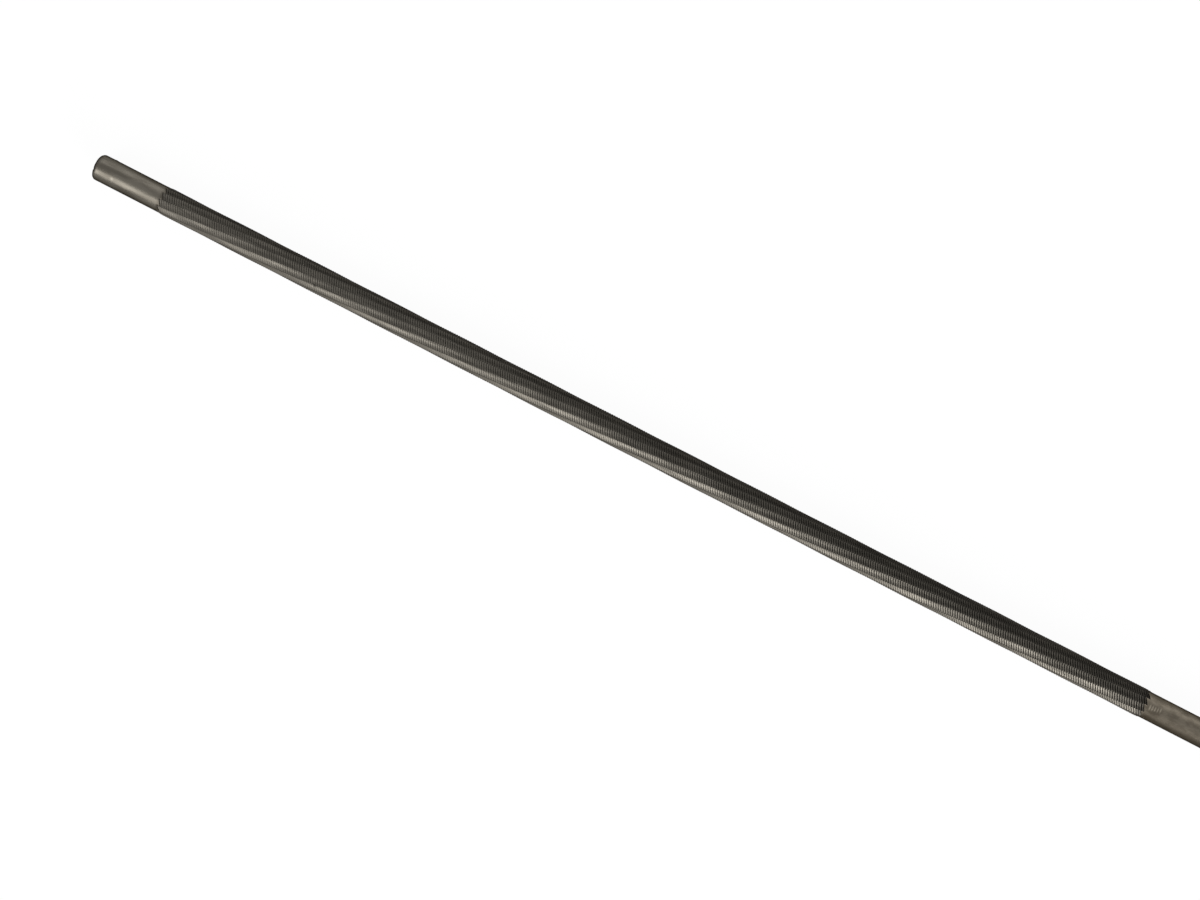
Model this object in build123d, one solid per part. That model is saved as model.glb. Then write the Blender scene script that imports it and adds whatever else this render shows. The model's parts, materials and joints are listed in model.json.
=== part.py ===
from build123d import *

import os
from math import cos, pi, radians, sin, tan

# A parallel round file of the kind that sharpens saw chain, in millimetres.
# It is one piece of hardened steel: a plain blunt tip, a body cut in twelve spiral rows of teeth,
# a plain shank and a tapered tang for a handle.
# The file's axis lies along X. The tip points to -X and the tang to +X.
# The origin is the middle of the plain shank, where a holder grips the file.

# Lengths along the axis
tip_length = 10.5
cut_length = 149.7
shank_length = 39.8
tang_length = 42.0

# Diameters across the plain ends and across the ridges between the rows
tip_diameter = 3.77
cut_diameter = 4.0
shank_diameter = 3.71

# Rows of teeth: each is a shallow hollow that winds round the body in a left-hand helix
row_count = 12
row_lead = 136.9
row_start_angle = 11.0
row_hollow = 0.02
ridge_angle = 5.0

# The tooth lines cross a row at this angle to the file's cross-section, so each row ends on a slant
tooth_slant = 28.0
core_clearance = 0.01

# Rounding of the blunt tip
rim_radius = 0.9

# Tang: a cone that carries two pairs of tapering flats, with a small chamfer round its blunt end
tang_end_diameter = 1.84
tang_width_start = 4.1
tang_width_end = 1.7
tang_thickness_start = 4.0
tang_thickness_end = 1.1
tang_end_chamfer = 0.3

# Places along the axis
shank_start = -shank_length / 2
shank_end = shank_length / 2
cut_end = shank_start
cut_start = cut_end - cut_length
tip_end = cut_start - tip_length
tang_end = shank_end + tang_length

# Values that follow from the sizes above
tip_radius = tip_diameter / 2
cut_radius = cut_diameter / 2
shank_radius = shank_diameter / 2
row_angle = 360 / row_count
row_twist = -360 * cut_length / row_lead
row_end_angle = row_start_angle + row_twist
row_floor_radius = cut_radius * cos(radians((row_angle - ridge_angle) / 2)) - row_hollow
row_end_reach = cut_radius * radians(row_angle) / 2 * tan(radians(tooth_slant))
core_cone_length = 2.2 * row_end_reach


def across(x):
    """The plane across the file's axis at x."""
    return Plane.YZ.offset(x)


def on_section(radius, angle):
    """A point of the cross-section, with the angle in degrees from +Y towards +Z."""
    return (radius * cos(radians(angle)), radius * sin(radians(angle)))


def rod(x_start, x_end, radius):
    """A round rod on the file's axis."""
    return extrude(across(x_start) * Circle(radius), amount=x_end - x_start, dir=(1, 0, 0))


def row_section():
    """The cross-section of the cut body: narrow round ridges with a hollow row between each two."""
    arcs = []
    for row in range(row_count):
        ridge = row_start_angle + row * row_angle
        ridge_low = on_section(cut_radius, ridge - ridge_angle / 2)
        ridge_top = on_section(cut_radius, ridge)
        ridge_high = on_section(cut_radius, ridge + ridge_angle / 2)
        row_floor = on_section(row_floor_radius, ridge + row_angle / 2)
        next_ridge = on_section(cut_radius, ridge + row_angle - ridge_angle / 2)
        arcs.append(ThreePointArc(ridge_low, ridge_top, ridge_high))
        arcs.append(ThreePointArc(ridge_high, row_floor, next_ridge))
    return Face(Wire(arcs))


def row_end_cutters(x, first_ridge, outward):
    """One wedge for each row, which cuts the row's end at x along its last tooth.

    outward is 1 at the end nearest the tang and -1 at the end nearest the tip.
    """
    half_depth = cut_diameter
    cutters = []
    for row in range(row_count):
        low = first_ridge + row * row_angle
        middle = low + row_angle / 2
        sector = Polyline(
            (0, 0), on_section(cut_diameter, low), on_section(cut_diameter, low + row_angle), (0, 0)
        )
        wedge = extrude(across(x - half_depth) * make_face(sector), amount=2 * half_depth, dir=(1, 0, 0))
        middle_y, middle_z = on_section(1, middle)
        radial = Vector(0, middle_y, middle_z)
        tooth_line = Vector(tan(radians(tooth_slant)), -middle_z, middle_y)
        facing = tooth_line.cross(radial)
        if facing.X * outward < 0:
            facing = facing * -1
        cutters.append(split(wedge, bisect_by=Plane(origin=(x, 0, 0), z_dir=facing), keep=Keep.TOP))
    return cutters


def cut_body():
    """The twisted body of rows, with a slanted end on each row."""
    section = across(cut_start) * row_section()
    body = Solid.extrude_linear_with_rotation(section, (cut_start, 0, 0), (cut_length, 0, 0), row_twist)
    at_tip = row_end_cutters(cut_start + row_end_reach, row_start_angle, -1)
    at_shank = row_end_cutters(cut_end - row_end_reach, row_end_angle, 1)
    return body - at_tip - at_shank


def plain_tip():
    """The smooth blunt end of the file, with its rounded rim."""
    blank = rod(tip_end, cut_start, tip_radius)
    rim = blank.edges().sort_by(Axis.X)[0]
    return fillet(rim, min(rim_radius, tip_radius / 2))


def core_under_row_ends(x_plain, plain_radius, inward):
    """The core that carries the row ends, with a short cone up from the plain end beside them.

    The cone reaches in under the rows, so all that shows beside a slanted row end is cone.
    inward is 1 where the teeth lie towards the tang and -1 where they lie towards the tip.
    """
    core_radius = row_floor_radius - core_clearance
    cone_end = x_plain + inward * core_cone_length
    core_end = cone_end + inward * row_end_reach
    outline = Polyline(
        (x_plain, 0),
        (x_plain, min(plain_radius, core_radius)),
        (cone_end, core_radius),
        (core_end, core_radius),
        (core_end, 0),
        (x_plain, 0),
    )
    return revolve(make_face(outline), axis=Axis.X)


def tang():
    """The tapered tang: a cone with two pairs of flats, blunt at its end."""
    end_radius = tang_end_diameter / 2
    chamfer_start = tang_end - tang_end_chamfer
    outline = Polyline(
        (shank_end, 0),
        (shank_end, shank_radius),
        (chamfer_start, end_radius),
        (tang_end, end_radius - tang_end_chamfer),
        (tang_end, 0),
        (shank_end, 0),
    )
    cone = revolve(make_face(outline), axis=Axis.X)
    start = across(shank_end) * Rectangle(tang_width_start, tang_thickness_start)
    end = across(tang_end) * Rectangle(tang_width_end, tang_thickness_end)
    return cone & loft([start, end])


round_file = (
    cut_body()
    + core_under_row_ends(cut_start, tip_radius, 1)
    + core_under_row_ends(cut_end, shank_radius, -1)
    + plain_tip()
    + rod(shank_start, shank_end, shank_radius)
    + tang()
)

print("body length", round(shank_end - tip_end, 2), "overall length", round(tang_end - tip_end, 2))
print("row width", round(2 * pi * cut_radius / row_count, 3), "row floor radius", round(row_floor_radius, 4))

os.makedirs("parts", exist_ok=True)
export_step(round_file, "parts/round_file.step")
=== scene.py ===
"""Looks of a round file for saw chain: spiral rows of teeth, plain ground ends and a forged tang.

Lengths are in metres and angles in degrees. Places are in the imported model's frame: the file's axis is
X, the tip points to -X, and the origin is the middle of the plain shank. An angle round the file runs
from +Y towards +Z.
"""
import json
import logging
import math
from collections.abc import Callable
from dataclasses import dataclass, replace
from enum import Enum, IntEnum
from functools import cache

import bmesh
import bpy
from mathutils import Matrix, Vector

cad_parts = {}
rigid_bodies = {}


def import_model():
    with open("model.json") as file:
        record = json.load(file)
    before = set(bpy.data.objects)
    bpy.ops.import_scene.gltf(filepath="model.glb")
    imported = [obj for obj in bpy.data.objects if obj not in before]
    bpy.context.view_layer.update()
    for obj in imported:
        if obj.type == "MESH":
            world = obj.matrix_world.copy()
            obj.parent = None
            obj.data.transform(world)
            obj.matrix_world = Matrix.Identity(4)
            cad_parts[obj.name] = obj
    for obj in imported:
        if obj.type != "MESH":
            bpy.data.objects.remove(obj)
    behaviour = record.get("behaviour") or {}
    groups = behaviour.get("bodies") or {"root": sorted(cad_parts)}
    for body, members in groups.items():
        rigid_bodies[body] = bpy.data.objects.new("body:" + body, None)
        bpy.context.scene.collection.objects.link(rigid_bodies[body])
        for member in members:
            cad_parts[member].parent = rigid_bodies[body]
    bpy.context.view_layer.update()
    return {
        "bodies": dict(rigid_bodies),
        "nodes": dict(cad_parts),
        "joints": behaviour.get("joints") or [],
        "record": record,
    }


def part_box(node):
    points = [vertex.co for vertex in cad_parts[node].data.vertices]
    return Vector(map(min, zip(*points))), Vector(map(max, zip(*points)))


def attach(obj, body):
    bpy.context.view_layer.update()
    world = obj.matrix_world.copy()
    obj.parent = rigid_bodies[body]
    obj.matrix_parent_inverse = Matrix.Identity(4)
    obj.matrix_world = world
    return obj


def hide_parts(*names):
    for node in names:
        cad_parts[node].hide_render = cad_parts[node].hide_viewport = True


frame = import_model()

MM = 0.001
TURN = 2 * math.pi
FINE_NOISE_DETAIL = 2.0
STREAK_NOISE_DETAIL = 3.0
STREAK_NOISE_SPAN = (0.3, 0.7)
CLEAN_STEEL_BRIGHTNESS = 0.5
SOCKET_KINDS = {int: "NodeSocketInt", float: "NodeSocketFloat", bpy.types.Material: "NodeSocketMaterial"}

Socket = bpy.types.NodeSocket
Sockets = bpy.types.NodeOutputs
Value = Socket | float
Ring = list[bmesh.types.BMVert]

log = logging.getLogger("round_file")


class End(Enum):
    """An open end of the cut body, with the direction along X that leads away from the teeth."""

    TIP = -1
    SHANK = 1


class Surface(IntEnum):
    """The finishes on the one steel piece, in the order of its material slots."""

    CUT = 0
    GROUND = 1
    SHANK = 2
    FORGED = 3


def between(start: float, end: float, share: float) -> float:
    """The value that lies a share of the way from start to end."""
    return start + (end - start) * share


def angle_round_axis(point: Vector) -> float:
    """Angle of a point round the file's axis, in radians from 0 up to one turn."""
    return math.atan2(point.z, point.y) % TURN


def turn_from(start: float, angle: float) -> float:
    """The shorter turn from an angle in degrees to one in radians, in radians."""
    return (angle - math.radians(start) + math.pi) % TURN - math.pi


def point_on_file(x: float, angle: float, radius: float) -> Vector:
    """The point at a place along the axis, an angle round it in radians and a distance from it."""
    return Vector((x, radius * math.cos(angle), radius * math.sin(angle)))


@dataclass(frozen=True)
class FileSizes:
    """Places along the file's axis and its radii."""

    tip_end: float
    cut_start: float
    cut_end: float
    shank_end: float
    tang_end: float
    tip_radius: float
    cut_radius: float
    shank_radius: float

    @classmethod
    def from_frame(cls, packed: dict) -> "FileSizes":
        """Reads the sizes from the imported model.


        Returns:
            The sizes of the file.
        """
        low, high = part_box("round_file")
        mounts = {mount["name"]: mount for mount in packed["record"]["mounts"]}
        tip = mounts["tip"]
        shank = mounts["shank"]
        tip_half = tip["dims"]["length_mm"] * MM / 2
        shank_half = shank["dims"]["length_mm"] * MM / 2
        return cls(
            tip_end=low.x,
            cut_start=tip["pos_m"][0] + tip_half,
            cut_end=shank["pos_m"][0] - shank_half,
            shank_end=shank["pos_m"][0] + shank_half,
            tang_end=high.x,
            tip_radius=tip["dims"]["r_mm"] * MM,
            cut_radius=(high.y - low.y) / 2,
            shank_radius=shank["dims"]["r_mm"] * MM,
        )


class NodeBuilder:
    """Adds nodes to a tree, with their inputs set or linked by name."""

    def __init__(self, tree: bpy.types.NodeTree) -> None:
        """Keeps the tree that the nodes go into."""
        self.tree = tree

    def add(self, kind: str, inputs: dict | None = None, **settings: object) -> bpy.types.Node:
        """Adds one node.

        Args:
            kind: Blender's name for the node.
            inputs: For each input's name or number, a value or the socket that feeds it.
            **settings: Attributes of the node, which are set before its inputs.

        Returns:
            The new node.
        """
        node = self.tree.nodes.new(kind)
        for name, value in settings.items():
            setattr(node, name, value)
        for name, value in (inputs or {}).items():
            self.feed(node.inputs[name], value)
        return node

    def feed(self, socket: Socket, value: object) -> None:
        """Links a socket to another one, or sets its value."""
        if isinstance(value, Socket):
            self.tree.links.new(value, socket)
        else:
            socket.default_value = value

    def math(self, operation: str, *values: Value) -> Socket:
        """Adds a Math node.

        Args:
            operation: The operation's name.
            *values: Sockets or numbers, in the order of the node's inputs.

        Returns:
            The socket with the result.
        """
        return self.add("ShaderNodeMath", dict(enumerate(values)), operation=operation).outputs[0]

    def vector_math(self, operation: str, inputs: dict) -> Socket:
        """Adds a Vector Math node with these inputs, and gives its vector."""
        return self.add("ShaderNodeVectorMath", inputs, operation=operation).outputs[0]

    def remap(self, value: Socket, low: Value, high: Value, to_low: Value, to_high: Value) -> Socket:
        """Maps a value from one range to another, smoothly and clamped.

        Args:
            value: The socket to read.
            low: Start of its range.
            high: End of its range.
            to_low: Result at the start.
            to_high: Result at the end.

        Returns:
            The socket with the result.
        """
        inputs = {"Value": value, "From Min": low, "From Max": high, "To Min": to_low, "To Max": to_high}
        return self.add("ShaderNodeMapRange", inputs, interpolation_type="SMOOTHSTEP").outputs["Result"]

    def mix_color(self, factor: Socket, first: tuple[float, ...], second: tuple[float, ...]) -> Socket:
        """Mixes two colours.

        Args:
            factor: Share of the second colour.
            first: Colour at factor 0.
            second: Colour at factor 1.

        Returns:
            The socket with the mixed colour.
        """
        inputs = {"Factor": factor, 6: (*first, 1), 7: (*second, 1)}
        return self.add("ShaderNodeMix", inputs, data_type="RGBA").outputs[2]


def nodes_of(owner: bpy.types.Material | bpy.types.World) -> NodeBuilder:
    """Switches on the nodes of a material or a world, and empties them for new ones."""
    owner.use_nodes = True
    owner.node_tree.nodes.clear()
    return NodeBuilder(owner.node_tree)


def put_in_scene(name: str, data: bpy.types.ID) -> bpy.types.Object:
    """Makes an object from its data and links it to the scene."""
    made = bpy.data.objects.new(name, data)
    bpy.context.scene.collection.objects.link(made)
    return made


@dataclass
class SpiralCut:
    """The cut body: hollow rows of chisel-cut teeth that wind round the file in a left-hand helix.

    One tooth is a small patch of mesh, as wide as a row and as long as the pitch. Its steep face looks at
    the tip and its gentle back at the tang. It is deepest in the middle of the row and fades out at the
    ridges on both sides.
    """

    sizes: FileSizes
    row_count: int = 12
    row_lead: float = 136.9 * MM
    start_angle: float = 11.0
    row_hollow: float = 0.03 * MM
    tooth_pitch: float = 0.343 * MM
    tooth_depth: float = 0.17 * MM
    slant_steps: int = 18
    columns: tuple[float, ...] = (0.0, 0.07, 0.35, 0.65, 0.93, 1.0)
    ridge_places: tuple[float, ...] = (0.0, 1 / 3, 2 / 3, 1.0)
    tooth_places: tuple[float, ...] = (0.0, 0.24, 0.62, 1.0)
    tooth_heights: tuple[float, ...] = (0.0, 1.0, 0.5, 0.0)
    ridge_drop: float = 0.5
    # painted shade: the dark colour on the ridges between the rows
    ridge_painted_shade: float = 0.1
    # painted shade across a row: each column's brightness, brightest a third of the way across and
    # darkest at the far ridge
    painted_row_shades: tuple[float, ...] = (0.45, 0.85, 1.0, 0.85, 0.7, 0.4)
    ridge_sharpness: float = 10.0
    run_in_drop: float = 0.05 * MM
    run_in_length: float = 0.9 * MM
    worn_share: float = 0.2
    worn_length: float = 110.0 * MM
    unevenness: float = 0.01 * MM
    unevenness_scale: float = 0.7 / MM
    merge_distance: float = 0.002 * MM
    seed: int = 7

    @property
    def row_angle(self) -> float:
        """Angle that one row takes up, in radians."""
        return TURN / self.row_count

    @property
    def slant(self) -> float:
        """How far along the axis a tooth line runs on its way across a row.

        It is a whole number of twelfths of the pitch, so that the ridges of all rows share their points.
        """
        return self.slant_steps * self.tooth_pitch / self.row_count

    @property
    def teeth_per_row(self) -> int:
        """Whole teeth that fit on the cut length, with room for the slant of the last one."""
        length = self.sizes.cut_end - self.sizes.cut_start
        return round((length - self.slant) / self.tooth_pitch)

    def crest_radius(self, across: float) -> float:
        """Distance of the tooth crests from the axis.

        Args:
            across: Place across the row, from 0 at one ridge to 1 at the next.

        Returns:
            The radius there: a shallow hollow between two ridges.
        """
        flat = math.cos(self.row_angle / 2) / math.cos((across - 0.5) * self.row_angle)
        return self.sizes.cut_radius * flat - self.row_hollow * (1 - (2 * across - 1) ** 2)

    def tooth_patch(self) -> bpy.types.Mesh:
        """One tooth, with its height, its share of the full depth and the painted shade across its row as
        attributes.

        Returns:
            A mesh that starts at angle 0 and x 0.
        """
        points: list[Vector] = []
        heights: list[float] = []
        shares: list[float] = []
        shades: list[float] = []
        for across, shade in zip(self.columns, self.painted_row_shades):
            on_ridge = across in (0.0, 1.0)
            share = 1 - abs(2 * across - 1) ** self.ridge_sharpness
            places = self.ridge_places if on_ridge else self.tooth_places
            for place, tooth_height in zip(places, self.tooth_heights):
                drop = self.ridge_drop if on_ridge else share * (1 - tooth_height)
                x = place * self.tooth_pitch + across * self.slant
                angle = across * self.row_angle - TURN * x / self.row_lead
                radius = self.crest_radius(across) - self.tooth_depth * drop
                points.append(point_on_file(x, angle, radius))
                # on a ridge the tooth height attribute carries the ridge's painted shade instead of a
                # height
                heights.append(self.ridge_painted_shade if on_ridge else tooth_height)
                shares.append(share)
                shades.append(shade)
        length = len(self.tooth_places)
        faces = []
        for column in range(len(self.columns) - 1):
            for step in range(length - 1):
                corner = column * length + step
                faces.append((corner, corner + length, corner + length + 1, corner + 1))
        mesh = bpy.data.meshes.new("tooth_patch")
        mesh.from_pydata(points, [], faces)
        for name, values in (("tooth_height", heights), ("depth_share", shares), ("side_shade", shades)):
            mesh.attributes.new(name, "FLOAT", "POINT").data.foreach_set("value", values)
        return mesh

    def inputs(self, material: bpy.types.Material) -> dict[str, object]:
        """The node tree's inputs: a value for each name."""
        return {
            "Row Count": self.row_count,
            "Teeth per Row": self.teeth_per_row,
            "Tooth Pitch": self.tooth_pitch,
            "Tooth Slant": self.slant,
            "Row Lead": self.row_lead,
            "Cut Start": self.sizes.cut_start,
            "Cut End": self.sizes.cut_end,
            "Start Angle": math.radians(self.start_angle),
            "Run-in Drop": self.run_in_drop,
            "Run-in Length": self.run_in_length,
            "Tooth Depth": self.tooth_depth,
            "Worn Share": self.worn_share,
            "Worn Length": self.worn_length,
            "Unevenness": self.unevenness,
            "Unevenness Scale": self.unevenness_scale,
            "Merge Distance": self.merge_distance,
            "Seed": self.seed,
            "Material": material,
        }

    def node_tree(self, material: bpy.types.Material) -> bpy.types.NodeTree:
        """The Geometry Nodes tree that repeats the tooth along and round the file.

        Args:
            material: Finish of the teeth.

        Returns:
            The tree, with one named input for each size.
        """
        tree = bpy.data.node_groups.new("spiral_cut", "GeometryNodeTree")
        tree.interface.new_socket("Tooth", in_out="INPUT", socket_type="NodeSocketGeometry")
        for name, value in self.inputs(material).items():
            tree.interface.new_socket(name, in_out="INPUT", socket_type=SOCKET_KINDS[type(value)])
        tree.interface.new_socket("Cut Body", in_out="OUTPUT", socket_type="NodeSocketGeometry")
        build = NodeBuilder(tree)
        given = build.add("NodeGroupInput").outputs
        rows = self._place_rows(build, given)
        sleeve = build.add("GeometryNodeRealizeInstances", {"Geometry": rows}).outputs[0]
        inputs = {"Geometry": sleeve, "Distance": given["Merge Distance"]}
        merged = build.add("GeometryNodeMergeByDistance", inputs).outputs[0]
        worn = self._wear(build, given, merged)
        finished = build.add("GeometryNodeSetMaterial", {"Geometry": worn, "Material": given["Material"]})
        build.add("NodeGroupOutput", {0: finished.outputs[0]})
        return tree

    def _place_rows(self, build: NodeBuilder, given: Sockets) -> Socket:
        """Puts one tooth on each place along each row.

        Args:
            build: Builder of the tree.
            given: The tree's input sockets.

        Returns:
            The socket with the instances.
        """
        index = build.add("GeometryNodeInputIndex").outputs[0]
        row = build.math("FLOOR", build.math("DIVIDE", index, given["Teeth per Row"]))
        tooth = build.math("MODULO", index, given["Teeth per Row"])
        steps_per_pitch = len(self.ridge_places) - 1
        limits = {4: 0, 5: steps_per_pitch - 1, "ID": row, "Seed": given["Seed"]}
        steps = build.add("FunctionNodeRandomValue", limits, data_type="INT").outputs[2]
        step = build.math("DIVIDE", given["Tooth Pitch"], steps_per_pitch)
        loose = build.math("MULTIPLY", steps, step)
        staggered = build.math("MULTIPLY_ADD", row, given["Tooth Slant"], loose)
        wrapped = build.math("MODULO", staggered, given["Tooth Pitch"])
        stagger = build.math("MULTIPLY_ADD", given["Tooth Pitch"], -0.5, wrapped)
        along = build.math("MULTIPLY_ADD", tooth, given["Tooth Pitch"], stagger)
        x = build.math("ADD", along, given["Cut Start"])
        row_turn = build.math("DIVIDE", build.math("MULTIPLY", row, TURN), given["Row Count"])
        helix_turn = build.math("DIVIDE", build.math("MULTIPLY", along, TURN), given["Row Lead"])
        turned = build.math("SUBTRACT", build.math("ADD", given["Start Angle"], row_turn), helix_turn)
        count = build.math("MULTIPLY", given["Row Count"], given["Teeth per Row"])
        place = build.add("ShaderNodeCombineXYZ", {"X": x}).outputs[0]
        points = build.add("GeometryNodePoints", {"Count": count, "Position": place})
        euler = build.add("ShaderNodeCombineXYZ", {"X": turned}).outputs[0]
        rotation = build.add("FunctionNodeEulerToRotation", {0: euler}).outputs[0]
        inputs = {"Points": points.outputs[0], "Instance": given["Tooth"], "Rotation": rotation}
        return build.add("GeometryNodeInstanceOnPoints", inputs).outputs[0]

    def _wear(self, build: NodeBuilder, given: Sockets, body: Socket) -> Socket:
        """Lowers the rows where they start and end, and makes the teeth uneven and worn near the tip.

        Args:
            build: Builder of the tree.
            given: The tree's input sockets.
            body: The socket with the merged cut body.

        Returns:
            The socket with the worn body.
        """
        position = build.add("GeometryNodeInputPosition").outputs[0]
        split = build.add("ShaderNodeSeparateXYZ", {0: position}).outputs
        from_start = build.math("SUBTRACT", split["X"], given["Cut Start"])
        from_end = build.math("SUBTRACT", given["Cut End"], split["X"])
        nearest = build.math("MINIMUM", from_start, from_end)
        run_in = build.math("DIVIDE", nearest, given["Run-in Length"])
        low_end = build.math("MULTIPLY", build.remap(run_in, 0.0, 1.0, 1.0, 0.0), given["Run-in Drop"])
        reader = "GeometryNodeInputNamedAttribute"
        share = build.add(reader, {"Name": "depth_share"}).outputs["Attribute"]
        height = build.add(reader, {"Name": "tooth_height"}).outputs["Attribute"]
        inputs = {"Vector": position, "Scale": given["Unevenness Scale"], "Detail": FINE_NOISE_DETAIL}
        patches = build.add("ShaderNodeTexNoise", inputs).outputs[0]
        rough = build.math("MULTIPLY", patches, build.math("MULTIPLY", share, given["Unevenness"]))
        sunk = build.math("MULTIPLY", build.math("SUBTRACT", 1.0, height), given["Tooth Depth"])
        worn = build.remap(from_start, 0.0, given["Worn Length"], given["Worn Share"], 0.0)
        filled = build.math("MULTIPLY", build.math("MULTIPLY", sunk, share), worn)
        drop = build.math("SUBTRACT", build.math("ADD", low_end, rough), filled)
        outward = build.add("ShaderNodeCombineXYZ", {"Y": split["Y"], "Z": split["Z"]}).outputs[0]
        radial = build.vector_math("NORMALIZE", {0: outward})
        inward = build.math("MULTIPLY", drop, -1.0)
        offset = build.vector_math("SCALE", {0: radial, "Scale": inward})
        return build.add("GeometryNodeSetPosition", {"Geometry": body, "Offset": offset}).outputs[0]

    def build(self, material: bpy.types.Material) -> bpy.types.Mesh:
        """Makes the cut body as a plain mesh, open at both ends.

        Args:
            material: Finish of the teeth.

        Returns:
            The mesh, in place.
        """
        carrier = put_in_scene("spiral_cut", self.tooth_patch())
        modifier = carrier.modifiers.new("spiral_cut", "NODES")
        modifier.node_group = self.node_tree(material)
        values = self.inputs(material)
        for item in modifier.node_group.interface.items_tree:
            if item.name in values:
                modifier[item.identifier] = values[item.name]
        depsgraph = bpy.context.evaluated_depsgraph_get()
        mesh = bpy.data.meshes.new_from_object(carrier.evaluated_get(depsgraph))
        bpy.data.objects.remove(carrier)
        return mesh


@dataclass(frozen=True)
class Mark:
    """A small soft bump: a burr, a stain or painted shade, or with a negative height a dent or a painted
    glint.
    """

    x: float
    angle: float
    half_length: float
    half_width: float
    height: float

    def rise(self, x: float, angle: float, radius: float) -> float:
        """How high the mark is at a point.

        Args:
            x: Place along the axis.
            angle: Angle round the axis, in radians.
            radius: Radius of the surface.

        Returns:
            The height, negative in a dent or a painted glint.
        """
        along = (x - self.x) / self.half_length
        around = turn_from(self.angle, angle) * radius / self.half_width
        return self.height * math.exp(-(along**2) - around**2)


@dataclass
class SteelShell:
    """The closed skin of the file, grown from the cut body's open ends.

    Its points carry an attribute for stains and painted shade: above 0 where the ground steel is dark,
    and below 0 where it is bright with painted glints.
    """

    body: bmesh.types.BMesh
    ring_points: int = 96

    def __post_init__(self) -> None:
        """Adds the attribute for stains, painted shade and painted glints to the body."""
        self.stain = self.body.verts.layers.float.new("stain")

    def ring(
        self,
        x_at: Callable[[float], float],
        radius_at: Callable[[float], float],
        stain_and_shade_at: Callable[[float], float] = lambda angle: 0.0,
    ) -> Ring:
        """Adds a ring of points round the axis.

        Args:
            x_at: Place along the axis at each angle.
            radius_at: Radius at each angle.
            stain_and_shade_at: Stains and painted shade at each angle; below 0 for painted glints.

        Returns:
            The ring's vertices, in the order of their angles.
        """
        points = []
        for step in range(self.ring_points):
            angle = TURN * step / self.ring_points
            vertex = self.body.verts.new(point_on_file(x_at(angle), angle, radius_at(angle)))
            vertex[self.stain] = stain_and_shade_at(angle)
            points.append(vertex)
        return points

    def open_end(self, end: End) -> Ring:
        """The points round an open end of the cut body, in the order of their angles."""
        middle = sum(vertex.co.x for vertex in self.body.verts) / len(self.body.verts)
        rim = [v for v in self.body.verts if v.is_boundary and (v.co.x - middle) * end.value > 0]
        return sorted(rim, key=lambda vertex: angle_round_axis(vertex.co))

    def lip(self, rim: Ring, end: End, width: float, radius: float, stain: float) -> Ring:
        """Adds the edge where the plain surface meets the teeth, a little way off the teeth.

        Args:
            rim: The cut body's open end.
            end: Which end it is.
            width: Distance of the lip from the teeth.
            radius: Radius of the plain surface.
            stain: Painted shade on the edge.

        Returns:
            The lip's vertices, one for each in the rim.
        """
        flat = [Vector((v.co.x, angle_round_axis(v.co) * radius)) for v in rim]
        lap = Vector((0.0, TURN * radius))
        vertices = []
        for step, point in enumerate(flat):
            before = flat[step - 1] - lap if step == 0 else flat[step - 1]
            after = flat[0] + lap if step == len(flat) - 1 else flat[step + 1]
            direction = (after - before).normalized()
            away = Vector((direction.y, -direction.x)) * end.value
            place = point + away * width
            vertices.append(self.body.verts.new(point_on_file(place.x, place.y / radius, radius)))
        for vertex in [*rim, *vertices]:
            vertex[self.stain] = stain
        return vertices

    def join(self, near: Ring, far: Ring, surface: Surface) -> None:
        """Fills the gap between two rings with triangles.

        Args:
            near: The ring with the lower X.
            far: The ring with the higher X.
            surface: Finish of the new faces.
        """
        near_angles = self._rising_angles(near)
        far_angles = self._rising_angles(far)
        shift = round((near_angles[0] - far_angles[0]) / TURN) * TURN
        far_angles = [angle + shift for angle in far_angles]
        near_step = 0
        far_step = 0
        while near_step < len(near) or far_step < len(far):
            near_next = near_angles[near_step + 1] if near_step < len(near) else math.inf
            far_next = far_angles[far_step + 1] if far_step < len(far) else math.inf
            near_now = near[near_step % len(near)]
            far_now = far[far_step % len(far)]
            if near_next <= far_next:
                near_step += 1
                following = near[near_step % len(near)]
            else:
                far_step += 1
                following = far[far_step % len(far)]
            self.body.faces.new((near_now, following, far_now)).material_index = surface

    def join_even(self, near: Ring, far: Ring, surface: Surface) -> None:
        """Fills the gap between two rings of as many points each with quads."""
        for step, vertex in enumerate(near):
            following = (step + 1) % len(near)
            corners = (vertex, near[following], far[following], far[step])
            self.body.faces.new(corners).material_index = surface

    def close(self, ring: Ring, x: float, end: End, surface: Surface) -> None:
        """Closes the last ring with a fan of triangles.

        Args:
            ring: The last ring.
            x: Place of the fan's middle on the axis.
            end: Which end of the file it closes.
            surface: Finish of the new faces.
        """
        middle = self.body.verts.new((x, 0, 0))
        middle[self.stain] = ring[0][self.stain]
        for step, vertex in enumerate(ring):
            following = ring[(step + 1) % len(ring)]
            corners = (following, vertex, middle) if end is End.TIP else (vertex, following, middle)
            self.body.faces.new(corners).material_index = surface

    def _rising_angles(self, ring: Ring) -> list[float]:
        """Angles of a ring's points, with the first point again at the end, a turn on.

        A first point in the last quarter of a turn counts from below 0.
        """
        angles = [angle_round_axis(vertex.co) for vertex in ring]
        rising = [angles[0] - TURN if angles[0] > 0.75 * TURN else angles[0]]
        for angle in angles[1:] + angles[:1]:
            while angle < rising[-1] - math.pi:
                angle += TURN
            rising.append(angle)
        return rising


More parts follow.
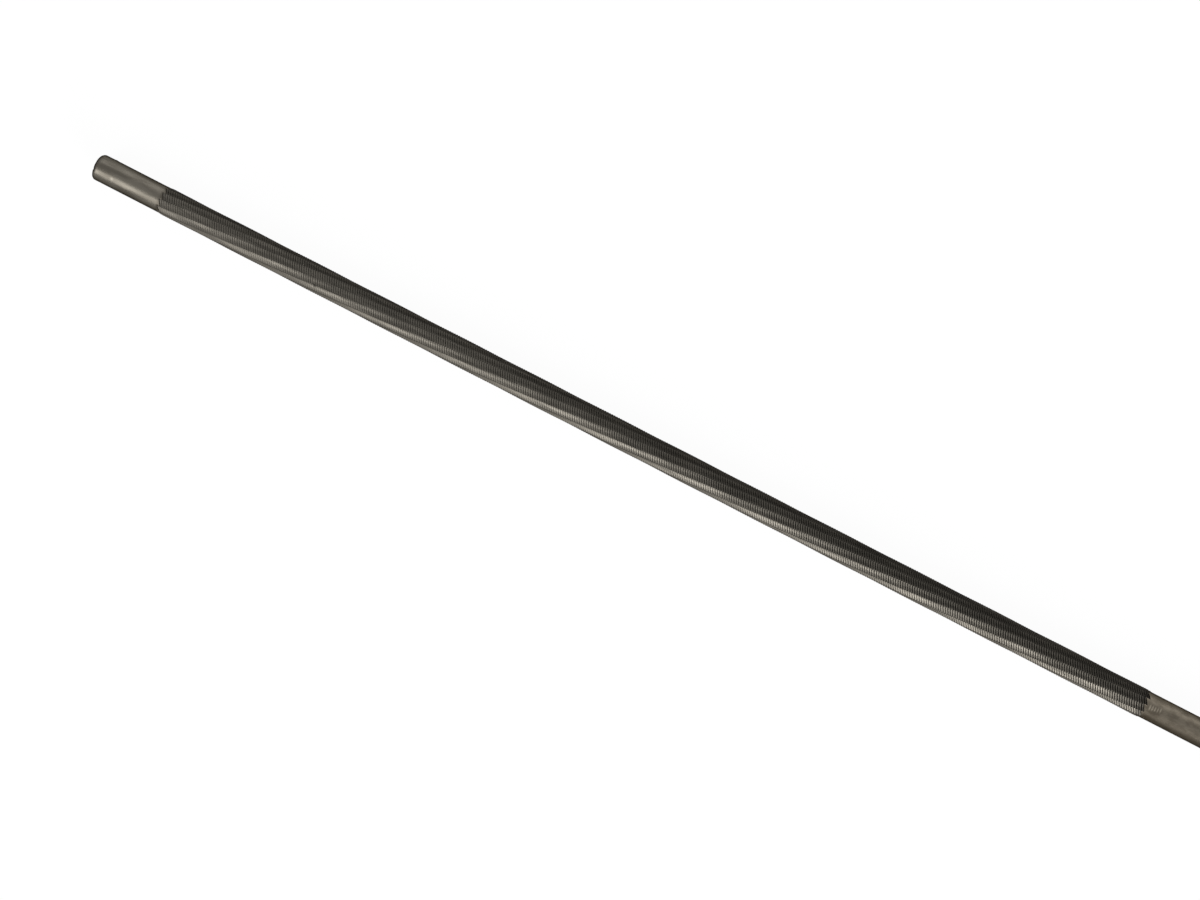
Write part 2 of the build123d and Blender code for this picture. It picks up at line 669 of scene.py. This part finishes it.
@dataclass
class PlainTip:
    """The blunt end of the file, ground a little askew.

    Its rim is rounded unevenly, has a nick and is darkened with painted shade, and its side has a burr
    and a painted glint.
    """

    sizes: FileSizes
    rim_radius: float = 0.66 * MM
    rim_unevenness: float = 0.16 * MM
    rim_margin: float = 1.5
    rim_angle: float = 10.0
    rim_steps: int = 8
    rim_painted_shade: float = 0.75
    end_skew: float = 0.12 * MM
    end_skew_angle: float = 187.0
    nick_angle: float = 121.0
    nick_depth: float = 0.08 * MM
    nick_width: float = 6.0
    ring_step: float = 0.3 * MM
    lip_width: float = 0.04 * MM
    # painted shade along the edge where the tip meets the teeth
    lip_painted_shade: float = 0.25
    teeth_clearance: float = 0.35 * MM
    burr: Mark = Mark(-177.75 * MM, 18.0, 0.25 * MM, 0.35 * MM, 0.06 * MM)
    glint: Mark = Mark(-176.85 * MM, 120.0, 0.2 * MM, 0.2 * MM, -0.5)

    def radius_at(self, x: float, angle: float) -> float:
        """Radius of the tip's side, with its burr."""
        return self.sizes.tip_radius + self.burr.rise(x, angle, self.sizes.tip_radius)

    def rim_radius_at(self, angle: float) -> float:
        """How much the rim is rounded at an angle, in radians."""
        return self.rim_radius + self.rim_unevenness * math.cos(angle - math.radians(self.rim_angle))

    def end_place(self, angle: float, radius: float) -> float:
        """Place of the end face along the axis, at an angle in radians and a distance from the axis."""
        share = radius / self.sizes.tip_radius
        skew = 1 + share * math.cos(angle - math.radians(self.end_skew_angle))
        from_nick = math.degrees(turn_from(self.nick_angle, angle)) / self.nick_width
        nick = self.nick_depth * share * math.exp(-(from_nick**2))
        return self.sizes.tip_end + self.end_skew * skew + nick

    def rim_ring(self, shell: SteelShell, turn: float) -> Ring:
        """One ring of the rounded rim.

        Args:
            shell: The skin it belongs to.
            turn: How far round the rounding it lies, in radians, from the side at 0 to the end face.

        Returns:
            The ring's vertices.
        """
        inset = 1 - math.cos(turn)
        back = 1 - math.sin(turn)

        def radius_at(angle: float) -> float:
            return self.sizes.tip_radius - self.rim_radius_at(angle) * inset

        def x_at(angle: float) -> float:
            return self.end_place(angle, radius_at(angle)) + self.rim_radius_at(angle) * back

        # painted shade darkens the rounded rim towards the end face
        return shell.ring(x_at, radius_at, lambda angle: self.rim_painted_shade * (1 - back) ** 2)

    def build(self, shell: SteelShell) -> None:
        """Grows the tip from the teeth to its closed end."""
        teeth = shell.open_end(End.TIP)
        # the lip and the teeth's edge carry the lip's painted shade
        lip = shell.lip(teeth, End.TIP, self.lip_width, self.sizes.tip_radius, self.lip_painted_shade)
        shell.join_even(lip, teeth, Surface.GROUND)
        start = self.sizes.cut_start - self.teeth_clearance
        rim_start = self.sizes.tip_end + 2 * self.end_skew + self.rim_radius
        stop = rim_start + self.rim_margin * self.rim_unevenness
        steps = round((start - stop) / self.ring_step)
        ring = lip
        for step in range(steps + 1):
            x = start + (stop - start) * step / steps
            following = shell.ring(
                lambda angle: x,
                lambda angle: self.radius_at(x, angle),
                # the glint is a painted highlight
                lambda angle: self.glint.rise(x, angle, self.sizes.tip_radius),
            )
            if step == 0:
                shell.join(following, ring, Surface.GROUND)
            else:
                shell.join_even(following, ring, Surface.GROUND)
            ring = following
        for step in range(self.rim_steps + 1):
            following = self.rim_ring(shell, math.pi / 2 * step / self.rim_steps)
            shell.join_even(following, ring, Surface.GROUND)
            ring = following
        shell.close(ring, self.end_place(0.0, 0.0), End.TIP, Surface.GROUND)


@dataclass
class PlainShank:
    """The plain round shank, with a stain, a long band of painted shade and the light touches that the
    chisel left past the teeth, brightened with painted glints.
    """

    sizes: FileSizes
    lip_width: float = 0.04 * MM
    lip_painted_shade: float = 0.0
    marked_length: float = 2.4 * MM
    fine_step: float = 0.06 * MM
    ring_step: float = 3.0 * MM
    touch_count: int = 5
    touch_pitch: float = 0.36 * MM
    touch_start: float = 0.35 * MM
    touch_angle: float = 99.0
    touch_turn: float = -1.5
    touch_height: float = 0.03 * MM
    touch_half_length: float = 0.08 * MM
    touch_half_width: float = 0.25 * MM
    touch_fade: float = 0.125
    touch_brightness: float = 2.4
    stains_and_shade: tuple[Mark, ...] = (
        Mark(-18.7 * MM, 114.0, 0.9 * MM, 0.45 * MM, 0.3),
        # painted shade: a long dark band along the shank's lower side
        Mark(0.0, 148.0, 60.0 * MM, 0.7 * MM, 0.32),
    )

    def touches(self) -> list[Mark]:
        """The burrs of the chisel touches, each lower than the one before."""
        marks = []
        for step in range(self.touch_count):
            x = self.sizes.cut_end + self.touch_start + step * self.touch_pitch
            angle = self.touch_angle + step * self.touch_turn
            height = self.touch_height * (1 - step * self.touch_fade)
            marks.append(Mark(x, angle, self.touch_half_length, self.touch_half_width, height))
        return marks

    def build(self, shell: SteelShell) -> Ring:
        """Grows the shank from the teeth to the start of the tang.

        Args:
            shell: The skin it belongs to.

        Returns:
            The shank's last ring.
        """
        plain = self.sizes.shank_radius
        touches = self.touches()
        teeth = shell.open_end(End.SHANK)
        lip = shell.lip(teeth, End.SHANK, self.lip_width, plain, self.lip_painted_shade)
        shell.join_even(teeth, lip, Surface.SHANK)
        marked_end = self.sizes.cut_end + self.marked_length
        fine = round(self.marked_length / self.fine_step)
        coarse = round((self.sizes.shank_end - marked_end) / self.ring_step)
        places = [self.sizes.cut_end + self.fine_step * (step + 1) for step in range(fine)]
        coarse_length = self.sizes.shank_end - places[-1]
        places += [places[-1] + coarse_length * (step + 1) / coarse for step in range(coarse)]
        ring = lip
        # painted glints: the touches' colour is brightened in step with their height
        glint = -self.touch_brightness / self.touch_height

        def rise(marks: list[Mark] | tuple[Mark, ...], x: float, angle: float) -> float:
            return sum(mark.rise(x, angle, plain) for mark in marks)

        for x in places:
            following = shell.ring(
                lambda angle: x,
                lambda angle: plain + rise(touches, x, angle),
                lambda angle: glint * rise(touches, x, angle) + rise(self.stains_and_shade, x, angle),
            )
            if ring is lip:
                shell.join(ring, following, Surface.SHANK)
            else:
                shell.join_even(ring, following, Surface.SHANK)
            ring = following
        return ring


@dataclass
class Tang:
    """The tapered tang: a cone that carries two pairs of tapering flats, blunt at its end."""

    sizes: FileSizes
    end_radius: float = 0.92 * MM
    half_width_start: float = 2.05 * MM
    half_width_end: float = 0.85 * MM
    half_thickness_start: float = 2.0 * MM
    half_thickness_end: float = 0.55 * MM
    end_chamfer: float = 0.3 * MM
    corner_softness: float = 10.0
    ring_count: int = 30

    def radius_at(self, x: float, angle: float) -> float:
        """Radius of the tang's section, with the corners between cone and flats a little soft.

        Args:
            x: Place along the axis.
            angle: Angle round the axis, in radians.

        Returns:
            The distance of the surface from the axis.
        """
        length = self.sizes.tang_end - self.sizes.shank_end
        past_shank = x - self.sizes.shank_end
        along = past_shank / length
        on_cone = min(past_shank / (length - self.end_chamfer), 1.0)
        cone = between(self.sizes.shank_radius, self.end_radius, on_cone)
        width = between(self.half_width_start, self.half_width_end, along)
        thickness = between(self.half_thickness_start, self.half_thickness_end, along)
        power = self.corner_softness
        closeness = (
            (1 / cone) ** power
            + (abs(math.cos(angle)) / width) ** power
            + (abs(math.sin(angle)) / thickness) ** power
        )
        past_chamfer = max(x - (self.sizes.tang_end - self.end_chamfer), 0.0)
        return min(closeness ** (-1 / power), self.sizes.shank_radius) - past_chamfer

    def build(self, shell: SteelShell, shank_ring: Ring) -> None:
        """Grows the tang from the shank's last ring to its closed end.

        Args:
            shell: The skin it belongs to.
            shank_ring: The shank's last ring.
        """
        length = self.sizes.tang_end - self.end_chamfer - self.sizes.shank_end
        steps = range(1, self.ring_count + 1)
        places = [self.sizes.shank_end + length * step / self.ring_count for step in steps]
        ring = shank_ring
        for x in [*places, self.sizes.tang_end]:
            following = shell.ring(lambda angle: x, lambda angle: self.radius_at(x, angle))
            shell.join_even(ring, following, Surface.FORGED)
            ring = following
        shell.close(ring, self.sizes.tang_end, End.SHANK, Surface.FORGED)


@dataclass(frozen=True)
class SteelFinish:
    """A steel finish: its colours, how glossy it is, and its grain.

    The bright colour shows on worn and raised places and the dark colour in hollows and stains. Streaks
    are long soft stains along the file, and the least streak is how far they darken what a mask source
    gives. Grain is the surface's fine roughness.
    """

    name: str
    bright: tuple[float, float, float]
    dark: tuple[float, float, float]
    edge_tint: float
    bright_roughness: float
    dark_roughness: float
    streak_length: float
    streak_width: float
    grain_size: float
    grain_height: float
    least_streak: float = 0.65

    def material(self, mask_source: Callable[[NodeBuilder], Socket] | None = None) -> bpy.types.Material:
        """Makes the finish as a material.

        Args:
            mask_source: Adds the nodes for how bright the steel is: 0 is dark, 1 is bright and more is
                glossier still.

        Returns:
            The material.
        """
        material = bpy.data.materials.new(self.name)
        build = nodes_of(material)
        place = build.add("ShaderNodeTexCoord").outputs["Object"]
        inputs = {"Place": place, "Length": self.streak_length, "Width": self.streak_width}
        streaks = build.add("ShaderNodeGroup", inputs, node_tree=streak_group())
        inputs = {"Place": place, "Size": self.grain_size, "Height": self.grain_height}
        grain = build.add("ShaderNodeGroup", inputs, node_tree=grain_group())
        mask = streaks.outputs["Mask"]
        if mask_source is not None:
            share = build.remap(mask, 0.0, 1.0, self.least_streak, 1.0)
            mask = build.math("MULTIPLY", mask_source(build), share)
        color = build.mix_color(mask, self.dark, self.bright)
        span = self.bright_roughness - self.dark_roughness
        roughness = build.math("MULTIPLY_ADD", mask, span, self.dark_roughness)
        inputs = {
            "Base Color": color,
            "Metallic": 1.0,
            "Roughness": roughness,
            "Specular Tint": (self.edge_tint, self.edge_tint, self.edge_tint, 1),
            "Normal": grain.outputs["Normal"],
        }
        shader = build.add("ShaderNodeBsdfPrincipled", inputs).outputs[0]
        build.add("ShaderNodeOutputMaterial", {"Surface": shader})
        return material


def shared_group(name: str, inputs: dict[str, str], outputs: dict[str, str]) -> bpy.types.NodeTree:
    """An empty shader node group, with the kind of socket for each input's and output's name."""
    group = bpy.data.node_groups.new(name, "ShaderNodeTree")
    for in_out, sockets in (("INPUT", inputs), ("OUTPUT", outputs)):
        for socket, kind in sockets.items():
            group.interface.new_socket(socket, in_out=in_out, socket_type=kind)
    return group


@cache
def streak_group() -> bpy.types.NodeTree:
    """The shared group for stains that run along the file: a mask from 0, dark, to 1, bright."""
    inputs = {"Place": "NodeSocketVector", "Length": "NodeSocketFloat", "Width": "NodeSocketFloat"}
    group = shared_group("steel_streaks", inputs, {"Mask": "NodeSocketFloat"})
    build = NodeBuilder(group)
    given = build.add("NodeGroupInput").outputs
    along = build.math("DIVIDE", 1.0, given["Length"])
    across = build.math("DIVIDE", 1.0, given["Width"])
    scale = build.add("ShaderNodeCombineXYZ", {"X": along, "Y": across, "Z": across}).outputs[0]
    stretched = build.vector_math("MULTIPLY", {0: given["Place"], 1: scale})
    inputs = {"Vector": stretched, "Scale": 1.0, "Detail": STREAK_NOISE_DETAIL}
    noise = build.add("ShaderNodeTexNoise", inputs).outputs[0]
    mask = build.remap(noise, *STREAK_NOISE_SPAN, 0.0, 1.0)
    build.add("NodeGroupOutput", {"Mask": mask})
    return group


@cache
def grain_group() -> bpy.types.NodeTree:
    """The shared group for the steel's fine grain: a normal that follows small bumps."""
    inputs = {"Place": "NodeSocketVector", "Size": "NodeSocketFloat", "Height": "NodeSocketFloat"}
    group = shared_group("steel_grain", inputs, {"Normal": "NodeSocketVector"})
    build = NodeBuilder(group)
    given = build.add("NodeGroupInput").outputs
    scale = build.math("DIVIDE", 1.0, given["Size"])
    inputs = {"Vector": given["Place"], "Scale": scale, "Detail": FINE_NOISE_DETAIL}
    noise = build.add("ShaderNodeTexNoise", inputs).outputs[0]
    bump = build.add("ShaderNodeBump", {"Distance": given["Height"], "Height": noise}).outputs[0]
    build.add("NodeGroupOutput", {"Normal": bump})
    return group


@dataclass(frozen=True)
class ToothBrightness:
    """How bright the teeth are: crests bright and valleys dark, but more alike towards the worn tip.

    Each span is where a change along the axis starts and where it ends. Wear brings crest and valley to
    the worn level. Painted shade darkens the teeth from the tip towards the shank; the last teeth before
    it are dark.
    """

    worn_level: float = 0.65
    wear_span: tuple[float, float] = (-130 * MM, -20 * MM)
    least_wear: float = 0.35
    painted_falloff_span: tuple[float, float] = (-160 * MM, -60 * MM)
    least_painted_falloff: float = 0.8
    last_teeth_span: tuple[float, float] = (-21.3 * MM, -20.3 * MM)
    last_teeth_share: float = 0.45

    def nodes(self, build: NodeBuilder) -> Socket:
        """Adds the nodes that give the brightness, from 0 to 1."""
        height = build.add("ShaderNodeAttribute", attribute_name="tooth_height").outputs["Fac"]
        crest = build.remap(height, 0.0, 1.0, 0.0, 1.0)
        place = build.add("ShaderNodeTexCoord").outputs["Object"]
        along = build.add("ShaderNodeSeparateXYZ", {0: place}).outputs["X"]
        wear = build.remap(along, *self.wear_span, 1.0, self.least_wear)
        unworn = build.math("SUBTRACT", self.worn_level, crest)
        worn = build.math("MULTIPLY_ADD", unworn, wear, crest)
        # painted shade: the teeth grow darker from the tip towards the shank
        painted_falloff = build.remap(along, *self.painted_falloff_span, 1.0, self.least_painted_falloff)
        falloff_shaded = build.math("MULTIPLY", worn, painted_falloff)
        # painted shade across each row
        side = build.add("ShaderNodeAttribute", attribute_name="side_shade").outputs["Fac"]
        shaded = build.math("MULTIPLY", falloff_shaded, side)
        last_teeth = build.remap(along, *self.last_teeth_span, 1.0, self.last_teeth_share)
        return build.math("MULTIPLY", shaded, last_teeth)


def ground_brightness(build: NodeBuilder) -> Socket:
    """Nodes that darken the ground steel at its stains and painted shade, and brighten it at its painted
    glints.
    """
    stain = build.add("ShaderNodeAttribute", attribute_name="stain").outputs["Fac"]
    return build.math("SUBTRACT", CLEAN_STEEL_BRIGHTNESS, stain)


CUT_STEEL = SteelFinish(
    name="cut_steel",
    bright=(0.136, 0.1255, 0.1074),
    dark=(0.0125, 0.0115, 0.0099),
    edge_tint=0.0,
    bright_roughness=0.48,
    dark_roughness=0.65,
    streak_length=6.0 * MM,
    streak_width=0.6 * MM,
    grain_size=0.12 * MM,
    grain_height=0.01 * MM,
)

GROUND_STEEL = SteelFinish(
    name="ground_steel",
    bright=(0.2, 0.185, 0.157),
    dark=(0.024, 0.0196, 0.0145),
    edge_tint=0.2,
    bright_roughness=0.29,
    dark_roughness=0.4,
    streak_length=4.0 * MM,
    streak_width=0.8 * MM,
    grain_size=0.15 * MM,
    grain_height=0.01 * MM,
)

SHANK_STEEL = replace(
    GROUND_STEEL,
    name="shank_steel",
    bright=(0.2, 0.176, 0.14),
    dark=(0.024, 0.0185, 0.0125),
    bright_roughness=0.33,
    dark_roughness=0.44,
    streak_length=1.2 * MM,
    streak_width=0.6 * MM,
)

FORGED_STEEL = SteelFinish(
    name="forged_steel",
    bright=(0.135, 0.122, 0.102),
    dark=(0.06, 0.053, 0.043),
    edge_tint=0.3,
    bright_roughness=0.5,
    dark_roughness=0.65,
    streak_length=3.0 * MM,
    streak_width=1.2 * MM,
    grain_size=0.3 * MM,
    grain_height=0.03 * MM,
)


@dataclass
class RoundFile:
    """The whole file: one closed piece of steel, with a nick in its teeth."""

    sizes: FileSizes
    crease_angle: float = 32.0
    nick: Mark = Mark(-145.35 * MM, 127.75, 0.3 * MM, 0.2 * MM, -0.1 * MM)
    nick_painted_shade: float = 0.9

    def __post_init__(self) -> None:
        """Makes the file's parts from its sizes."""
        self.cut = SpiralCut(self.sizes)
        self.tip = PlainTip(self.sizes)
        self.shank = PlainShank(self.sizes)
        self.tang = Tang(self.sizes)

    def press_nick(self, body: bmesh.types.BMesh) -> None:
        """Presses the nick into the teeth and darkens it with painted shade."""
        shade = body.verts.layers.float["side_shade"]
        for vertex in body.verts:
            angle = angle_round_axis(vertex.co)
            lift = self.nick.rise(vertex.co.x, angle, self.sizes.cut_radius)
            radius = math.hypot(vertex.co.y, vertex.co.z)
            vertex.co = point_on_file(vertex.co.x, angle, radius + lift)
            # painted shade in the dent
            vertex[shade] *= 1 - self.nick_painted_shade * lift / self.nick.height

    def build(self) -> bpy.types.Object:
        """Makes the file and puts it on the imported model's body.

        Returns:
            The finished piece.
        """
        cut_steel = CUT_STEEL.material(ToothBrightness().nodes)
        mesh = self.cut.build(cut_steel)
        mesh.name = "file_steel_body"
        mesh.materials.clear()
        ground_steel = GROUND_STEEL.material(ground_brightness)
        shank_steel = SHANK_STEEL.material(ground_brightness)
        for steel in (cut_steel, ground_steel, shank_steel, FORGED_STEEL.material()):
            mesh.materials.append(steel)
        body = bmesh.new()
        body.from_mesh(mesh)
        for face in body.faces:
            face.material_index = Surface.CUT
        self.press_nick(body)
        shell = SteelShell(body)
        self.tip.build(shell)
        self.tang.build(shell, self.shank.build(shell))
        for face in body.faces:
            face.smooth = True
        body.to_mesh(mesh)
        body.free()
        mesh.set_sharp_from_angle(angle=math.radians(self.crease_angle))
        piece = put_in_scene("file_steel_body", mesh)
        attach(piece, "root")
        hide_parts("round_file")
        return piece


@dataclass(frozen=True)
class Softbox:
    """A soft area lamp that looks at a target."""

    name: str
    place: tuple[float, float, float]
    target: tuple[float, float, float]
    length: float
    width: float
    power: float

    def build(self) -> None:
        """Makes the lamp, with its long side along X."""
        data = bpy.data.lights.new(self.name, "AREA")
        data.shape = "RECTANGLE"
        data.size = self.length
        data.size_y = self.width
        data.energy = self.power
        lamp = put_in_scene(self.name, data)
        lamp.location = self.place
        aim = Vector(self.target) - Vector(self.place)
        lamp.rotation_mode = "QUATERNION"
        lamp.rotation_quaternion = aim.to_track_quat("-Z", "Y")
        lamp.visible_camera = False


@dataclass
class Studio:
    """A plain white studio: floor, world, lamps and the camera of the photograph."""

    sizes: FileSizes
    camera_place: tuple[float, float, float] = (-79.21 * MM, -43.913 * MM, 335.46 * MM)
    camera_azimuth: float = 27.46
    camera_elevation: float = 82.2
    nearest_seen: float = 10 * MM
    farthest_seen: float = 10.0
    focal_pixels: float = 2500.0
    picture_width: float = 1200.0
    sensor_width: float = 36.0
    floor_size: float = 6.0
    floor_color: tuple[float, float, float] = (0.9, 0.9, 0.9)
    floor_glow: float = 0.95
    ambient: float = 0.5
    lamps: tuple[Softbox, ...] = (
        Softbox("key_softbox", (-0.34, -0.40, 0.30), (-0.10, 0.0, 0.0), 0.36, 0.34, 1.7),
        Softbox("side_softbox", (0.86, -0.43, 0.32), (-0.08, 0.0, 0.0), 0.5, 0.25, 11.0),
        Softbox("low_softbox", (0.8, -0.72, 0.16), (-0.08, 0.0, 0.0), 0.5, 0.25, 24.0),
        Softbox("fill_softbox", (-0.08, 0.5, 0.34), (-0.10, 0.0, 0.0), 0.6, 0.5, 1.3),
    )

    def build_camera(self) -> None:
        """Makes the camera where the photograph was taken from."""
        data = bpy.data.cameras.new("camera")
        data.sensor_width = self.sensor_width
        data.lens = self.focal_pixels * self.sensor_width / self.picture_width
        data.clip_start = self.nearest_seen
        data.clip_end = self.farthest_seen
        camera = put_in_scene("camera", data)
        camera.location = self.camera_place
        tilt = math.radians(90 - self.camera_elevation)
        camera.rotation_euler = (tilt, 0, math.radians(self.camera_azimuth))
        bpy.context.scene.camera = camera

    def floor_material(self) -> bpy.types.Material:
        """Pale floor that shows white to the camera and in the steel, and keeps the file's shadow."""
        material = bpy.data.materials.new("studio_floor")
        build = nodes_of(material)
        matte = build.add("ShaderNodeBsdfDiffuse", {"Color": (*self.floor_color, 1)}).outputs[0]
        glow = build.add("ShaderNodeEmission").outputs[0]
        share = build.math("MULTIPLY", seen_directly(build), self.floor_glow)
        mixed = build.add("ShaderNodeMixShader", {0: share, 1: matte, 2: glow}).outputs[0]
        build.add("ShaderNodeOutputMaterial", {"Surface": mixed})
        return material

    def build_floor(self) -> None:
        """Makes the floor just under the file."""
        half = self.floor_size / 2
        level = -self.sizes.cut_radius
        corners = [(-half, -half, level), (half, -half, level), (half, half, level), (-half, half, level)]
        mesh = bpy.data.meshes.new("floor")
        mesh.from_pydata(corners, [], [(0, 1, 2, 3)])
        mesh.materials.append(self.floor_material())
        put_in_scene("floor", mesh)

    def build_world(self) -> None:
        """Makes the world white where it is seen, and softer as a light."""
        world = bpy.data.worlds.new("studio_world")
        bpy.context.scene.world = world
        build = nodes_of(world)
        strength = build.math("MULTIPLY_ADD", seen_directly(build), 1.0 - self.ambient, self.ambient)
        background = build.add("ShaderNodeBackground", {"Color": (1, 1, 1, 1), "Strength": strength})
        build.add("ShaderNodeOutputWorld", {"Surface": background.outputs[0]})

    def build(self) -> None:
        """Makes the whole studio."""
        self.build_camera()
        self.build_floor()
        self.build_world()
        for lamp in self.lamps:
            lamp.build()
        bpy.context.scene.view_settings.view_transform = "Standard"


def seen_directly(build: NodeBuilder) -> Socket:
    """Nodes that give 1 to what the camera, the steel or glass shows, and 0 to soft bounced light."""
    path = build.add("ShaderNodeLightPath").outputs
    shown = build.math("MAXIMUM", path["Is Camera Ray"], path["Is Glossy Ray"])
    return build.math("MAXIMUM", shown, path["Is Transmission Ray"])


def report_piece(piece: bpy.types.Object) -> None:
    """Logs a finished piece's name and how many triangles it has."""
    piece.data.calc_loop_triangles()
    log.info("%s: %d triangles", piece.name, len(piece.data.loop_triangles))


def main() -> None:
    """Builds the studio and the file, and reports each piece."""
    logging.basicConfig(level=logging.INFO, format="%(name)s: %(message)s")
    sizes = FileSizes.from_frame(frame)
    Studio(sizes).build()
    report_piece(RoundFile(sizes).build())


if __name__ == "__main__":
    main()
